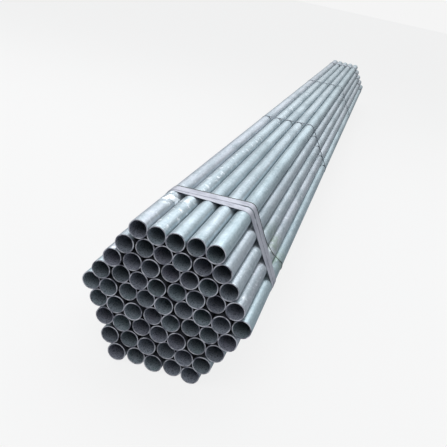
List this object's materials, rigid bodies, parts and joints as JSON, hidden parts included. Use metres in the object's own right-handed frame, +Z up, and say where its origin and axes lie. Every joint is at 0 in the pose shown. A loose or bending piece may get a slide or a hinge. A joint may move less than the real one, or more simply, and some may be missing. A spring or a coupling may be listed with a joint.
{
  "type": "bundle of steel tubes",
  "caption": "Hexagonal bundle of round galvanised steel tubes, held by wide end bands, narrow sealed straps and a tie wire.",
  "frame": {"origin": "middle of the footprint, on the floor under the bands", "axes": "+Y along the tubes, from the front ends to the rear ends; +X across the bundle, +Z up"},
  "size_m": [0.5498, 6.018, 0.4848],
  "materials": {
    "galvanised_tube": "galvanised, dull to semi-bright, with a fine spangle",
    "galvanised_band": "galvanised strip, dull",
    "steel_strap": "blued steel strapping, semi-dull",
    "tie_wire": "black annealed wire"
  },
  "bodies": {
    "root": {"tube_layer_1": "galvanised_tube", "tube_layer_2": "galvanised_tube", "tube_layer_3": "galvanised_tube", "tube_layer_4": "galvanised_tube", "tube_layer_5": "galvanised_tube", "tube_layer_6": "galvanised_tube", "tube_layer_7": "galvanised_tube", "tube_layer_8": "galvanised_tube", "tube_layer_9": "galvanised_tube", "front_band_inner": "galvanised_band", "front_band_outer": "galvanised_band", "rear_band_inner": "galvanised_band", "rear_band_outer": "galvanised_band", "strap_1": "steel_strap", "strap_2": "steel_strap", "seal_1": "steel_strap", "seal_2": "steel_strap", "tie_wire": "tie_wire"}
  },
  "joints": []
}
